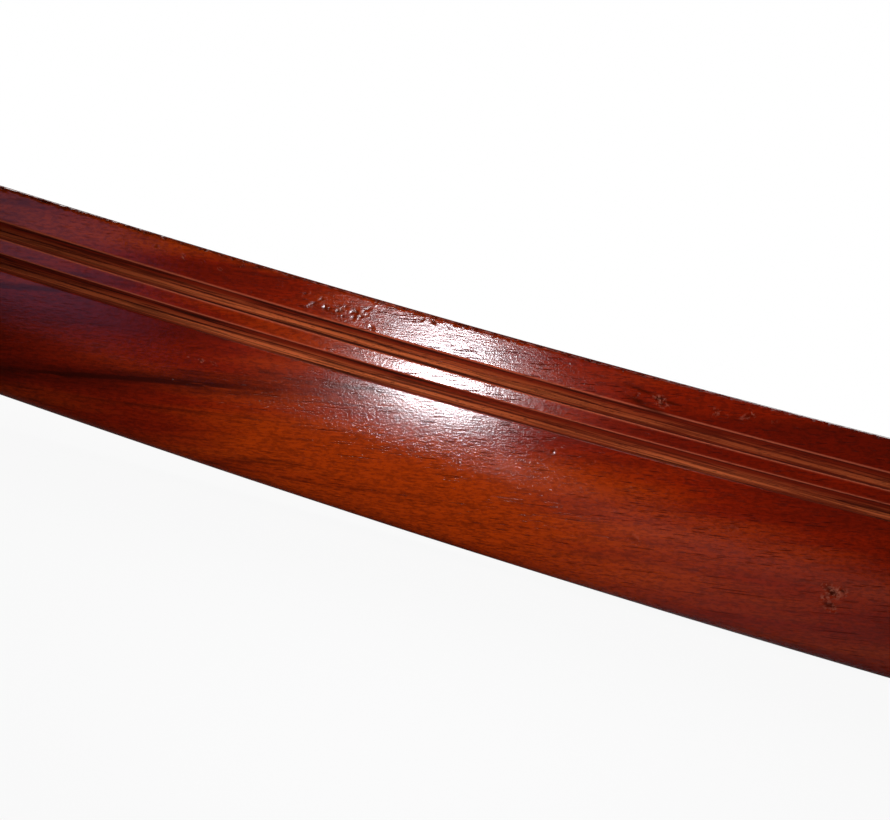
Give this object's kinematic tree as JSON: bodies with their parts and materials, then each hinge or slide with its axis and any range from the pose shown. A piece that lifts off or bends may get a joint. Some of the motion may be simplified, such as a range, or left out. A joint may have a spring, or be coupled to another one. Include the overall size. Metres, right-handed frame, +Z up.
{
  "type": "grab rail",
  "caption": "Moulded hardwood rail with two V grooves and a slight sheer, deeper at one end, held off a bulkhead on turned brass pillars bolted through from behind.",
  "frame": {"origin": "centre of the footprint (the bounding box seen from above), level with the lowest point of the rail's lower edge", "axes": "+Z up, +X along the rail, +Y into the bulkhead; the moulded face looks towards -Y"},
  "size_m": [0.64, 0.1068, 0.0823],
  "materials": {
    "varnished_hardwood": "red-brown hardwood under gloss varnish, matte in the grooves",
    "brass": "polished, lightly handled",
    "stainless_steel": "satin",
    "rubber": "matte black"
  },
  "bodies": {
    "root": {"rail": "varnished_hardwood", "left_threaded_insert": "brass", "left_pillar": "brass", "left_wall_rose": "brass", "left_rose_screw_1": "brass", "left_rose_screw_2": "brass", "left_rose_screw_3": "brass", "left_isolating_washer": "rubber", "left_gasket": "rubber", "left_backing_plate": "stainless_steel", "left_spring_washer": "stainless_steel", "left_through_bolt": "stainless_steel", "right_threaded_insert": "brass", "right_pillar": "brass", "right_wall_rose": "brass", "right_rose_screw_1": "brass", "right_rose_screw_2": "brass", "right_rose_screw_3": "brass", "right_isolating_washer": "rubber", "right_gasket": "rubber", "right_backing_plate": "stainless_steel", "right_spring_washer": "stainless_steel", "right_through_bolt": "stainless_steel"}
  },
  "joints": []
}
